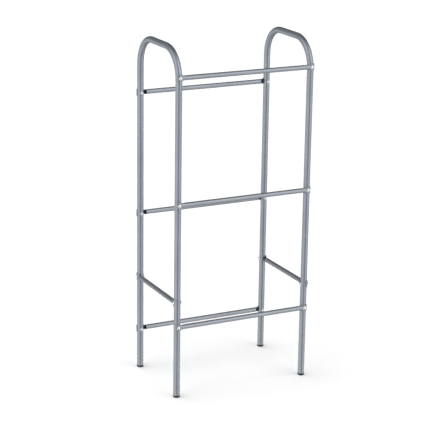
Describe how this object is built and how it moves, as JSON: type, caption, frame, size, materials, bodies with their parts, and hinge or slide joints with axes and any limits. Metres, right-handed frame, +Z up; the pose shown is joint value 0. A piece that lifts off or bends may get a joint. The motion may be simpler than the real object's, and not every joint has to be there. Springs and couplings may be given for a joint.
{
  "type": "drinks crate rack",
  "caption": "Free-standing tube rack: two tall hoop frames joined by bolted rails whose front rails sit higher, so each tier holds a drinks crate tilted forward.",
  "frame": {"origin": "on the floor, under the middle of the rack", "axes": "+Z up, -Y towards the front, where the higher rail of each tier is, +X to the right seen from the front"},
  "size_m": [0.5118, 0.3338, 1.187],
  "materials": {
    "frame_paint": "satin silver-grey powder coat",
    "rail_paint": "satin silver-grey powder coat",
    "bolt_steel": "bright plated",
    "nut_steel": "bright plated",
    "foot_plastic": "black, slightly worn under the rim"
  },
  "bodies": {
    "root": {"left_hoop_frame": "frame_paint", "right_hoop_frame": "frame_paint", "bottom_front_rail": "rail_paint", "bottom_rear_rail": "rail_paint", "middle_front_rail": "rail_paint", "middle_rear_rail": "rail_paint", "top_front_rail": "rail_paint", "top_rear_rail": "rail_paint", "left_side_rail": "rail_paint", "right_side_rail": "rail_paint", "bottom_front_bolts": "bolt_steel", "bottom_rear_bolts": "bolt_steel", "middle_front_bolts": "bolt_steel", "middle_rear_bolts": "bolt_steel", "top_front_bolts": "bolt_steel", "top_rear_bolts": "bolt_steel", "left_side_bolts": "bolt_steel", "right_side_bolts": "bolt_steel", "bottom_front_nuts": "nut_steel", "bottom_rear_nuts": "nut_steel", "middle_front_nuts": "nut_steel", "middle_rear_nuts": "nut_steel", "top_front_nuts": "nut_steel", "top_rear_nuts": "nut_steel", "left_side_nuts": "nut_steel", "right_side_nuts": "nut_steel", "front_left_foot_plug": "foot_plastic", "front_right_foot_plug": "foot_plastic", "rear_left_foot_plug": "foot_plastic", "rear_right_foot_plug": "foot_plastic"}
  },
  "joints": []
}
